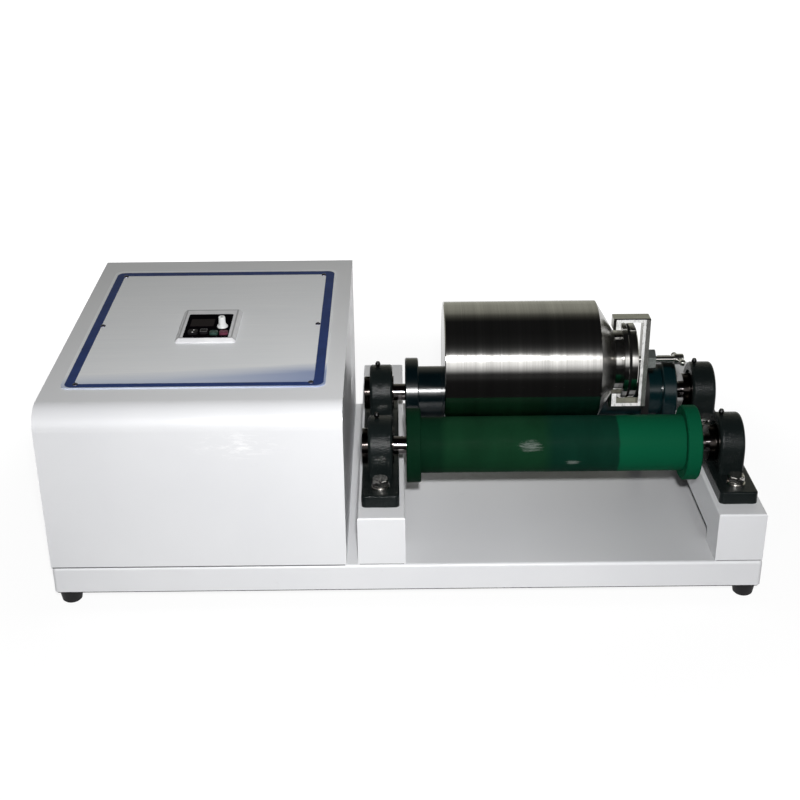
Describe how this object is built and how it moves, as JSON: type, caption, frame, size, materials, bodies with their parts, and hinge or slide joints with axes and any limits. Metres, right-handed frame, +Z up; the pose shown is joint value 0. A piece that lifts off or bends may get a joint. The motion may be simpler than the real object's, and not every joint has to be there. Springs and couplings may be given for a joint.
{
  "type": "roller ball mill",
  "caption": "Bench roller mill: a stainless jar clamped shut by a yoke turns on two driven rubber rollers beside a control cabinet.",
  "frame": {"origin": "centre of the footprint of the whole machine, on the floor under the rubber feet", "axes": "+X to the right along the rollers, from the control cabinet to the jar's clamp end; +Y to the back; +Z up"},
  "size_m": [0.75, 0.404, 0.2769],
  "materials": {
    "white_paint": "smooth semi-gloss powder coat",
    "foot_rubber": "moulded black rubber",
    "zinc_steel": "bright zinc plate",
    "black_plastic": "moulded",
    "switch_plastic": "moulded gloss",
    "panel_aluminium": "fine brushed plate with a printed blue border",
    "bezel_plastic": "pale grey moulding",
    "face_plastic": "black membrane",
    "display_plastic": "dark window",
    "grey_key_plastic": "soft key",
    "green_key_plastic": "soft key",
    "red_key_plastic": "soft key",
    "knob_plastic": "satin",
    "motor_paint": "satin black",
    "gearbox_aluminium": "die cast",
    "pulley_aluminium": "turned",
    "belt_rubber": "reinforced drive belt",
    "cast_paint": "dark grey green enamel over sand casting",
    "bearing_steel": "ground",
    "nipple_steel": "dull plate",
    "shaft_steel": "ground bar",
    "core_steel": "turned",
    "front_roller_rubber": "ground dark green rubber with a light sheen",
    "rear_roller_rubber": "ground dark blue green rubber with a light sheen",
    "plate_paint": "dark coat",
    "jar_steel": "turned stainless steel",
    "screw_steel": "stainless steel",
    "gasket_rubber": "flat ring",
    "ball_steel": "polished"
  },
  "bodies": {
    "frame": {"base_tray": "white_paint", "base_bottom_plate": "plate_paint", "rubber_feet": "foot_rubber", "foot_screws": "zinc_steel", "cabinet_cover": "white_paint", "cabinet_left_side": "white_paint", "cabinet_right_side": "white_paint", "cabinet_back_panel": "white_paint", "cabinet_screws": "zinc_steel", "power_inlet": "black_plastic", "power_switch_frame": "black_plastic", "control_panel": "panel_aluminium", "panel_screws": "zinc_steel", "controller_bezel": "bezel_plastic", "controller_face": "face_plastic", "display_window": "display_plastic", "controller_box": "black_plastic", "gear_motor": "motor_paint", "gearbox": "gearbox_aluminium", "motor_cradles": "gearbox_aluminium", "drive_shaft_bearings": "gearbox_aluminium", "drive_belt": "belt_rubber", "left_riser": "white_paint", "right_riser": "white_paint", "bearing_housing_front_left": "cast_paint", "bearing_housing_front_right": "cast_paint", "bearing_housing_rear_left": "cast_paint", "bearing_housing_rear_right": "cast_paint", "bearing_outer_rings": "bearing_steel", "grease_nipples": "nipple_steel", "housing_bolts": "zinc_steel", "housing_washers": "zinc_steel", "housing_nuts": "zinc_steel"},
    "front_roller": {"front_roller_shaft": "shaft_steel", "front_roller_core": "core_steel", "front_roller_sleeve": "front_roller_rubber", "front_roller_flanges": "front_roller_rubber", "front_bearing_inner_rings": "bearing_steel"},
    "rear_roller": {"rear_roller_shaft": "shaft_steel", "rear_roller_core": "core_steel", "rear_roller_sleeve": "rear_roller_rubber", "rear_roller_flanges": "rear_roller_rubber", "rear_bearing_inner_rings": "bearing_steel"},
    "drive_line": {"drive_shaft": "shaft_steel", "drive_pulley": "pulley_aluminium"},
    "speed_knob": {"speed_knob": "knob_plastic"},
    "mode_key": {"mode_key": "grey_key_plastic"},
    "select_key": {"select_key": "grey_key_plastic"},
    "run_key": {"run_key": "green_key_plastic"},
    "stop_key": {"stop_key": "red_key_plastic"},
    "power_rocker": {"power_rocker": "switch_plastic"},
    "ball_charge": {"grinding_balls": "ball_steel"},
    "jar": {"jar_body": "jar_steel", "jar_gasket": "gasket_rubber"},
    "lid": {"jar_lid": "jar_steel"},
    "yoke": {"clamp_yoke": "jar_steel", "yoke_nut": "jar_steel"},
    "pad": {"clamp_pad": "jar_steel"},
    "screw": {"clamp_screw": "screw_steel", "tommy_bar": "screw_steel"}
  },
  "joints": [
    {"name": "rear_roller_turn", "type": "hinge", "parent": "frame", "child": "rear_roller", "pos_m": [0, 0.0345, 0.1409], "axis": [1, 0, 0], "continuous": true},
    {"name": "front_roller_turn", "type": "hinge", "parent": "frame", "child": "front_roller", "pos_m": [0, -0.1045, 0.1409], "axis": [1, 0, 0], "continuous": true},
    {"name": "drive_shaft_turn", "type": "hinge", "parent": "frame", "child": "drive_line", "pos_m": [0, 0.0345, 0.0335], "axis": [1, 0, 0], "continuous": true},
    {"name": "jar_lift", "type": "slide", "parent": "frame", "child": "ball_charge", "axis": [0, 0, 1], "range_m": [0, 0.15]},
    {"name": "jar_turn", "type": "hinge", "parent": "ball_charge", "child": "jar", "pos_m": [0, -0.035, 0.20985], "axis": [1, 0, 0], "continuous": true},
    {"name": "lid_release", "type": "slide", "parent": "jar", "child": "lid", "axis": [1, 0, 0], "range_m": [0, 0.003]},
    {"name": "yoke_slide", "type": "slide", "parent": "jar", "child": "yoke", "axis": [0, 1, 0], "range_m": [-0.025, 0.025]},
    {"name": "pad_travel", "type": "slide", "parent": "yoke", "child": "pad", "axis": [1, 0, 0], "range_m": [0, 0.003]},
    {"name": "clamp_screw_turn", "type": "hinge", "parent": "pad", "child": "screw", "pos_m": [0, -0.035, 0.20985], "axis": [1, 0, 0], "range_deg": [0, 864]},
    {"name": "speed_knob_turn", "type": "hinge", "parent": "frame", "child": "speed_knob", "pos_m": [-0.2035, -0.01657, 0.24709], "axis": [0, -0.0462, 0.9989], "range_deg": [-150, 150]},
    {"name": "mode_key_press", "type": "slide", "parent": "frame", "child": "mode_key", "axis": [0, 0.0462, -0.9989], "range_m": [0, 0.001], "stiffness_N_per_m": 250, "springref_m": -0.0006},
    {"name": "select_key_press", "type": "slide", "parent": "frame", "child": "select_key", "axis": [0, 0.0462, -0.9989], "range_m": [0, 0.001], "stiffness_N_per_m": 250, "springref_m": -0.0006},
    {"name": "run_key_press", "type": "slide", "parent": "frame", "child": "run_key", "axis": [0, 0.0462, -0.9989], "range_m": [0, 0.001], "stiffness_N_per_m": 250, "springref_m": -0.0006},
    {"name": "stop_key_press", "type": "slide", "parent": "frame", "child": "stop_key", "axis": [0, 0.0462, -0.9989], "range_m": [0, 0.001], "stiffness_N_per_m": 250, "springref_m": -0.0006},
    {"name": "power_rocker_tilt", "type": "hinge", "parent": "frame", "child": "power_rocker", "pos_m": [-0.267, 0.195, 0.097], "axis": [1, 0, 0], "range_deg": [0, 14]}
  ],
  "couplings": [
    {"joint": "front_roller_turn", "follows": "rear_roller_turn", "ratio": 1},
    {"joint": "drive_shaft_turn", "follows": "rear_roller_turn", "ratio": 2.7818},
    {"joint": "jar_turn", "follows": "rear_roller_turn", "ratio": -0.45672},
    {"joint": "lid_release", "follows": "pad_travel", "ratio": 1},
    {"joint": "clamp_screw_turn", "follows": "pad_travel", "rad_per_m": 5026}
  ]
}
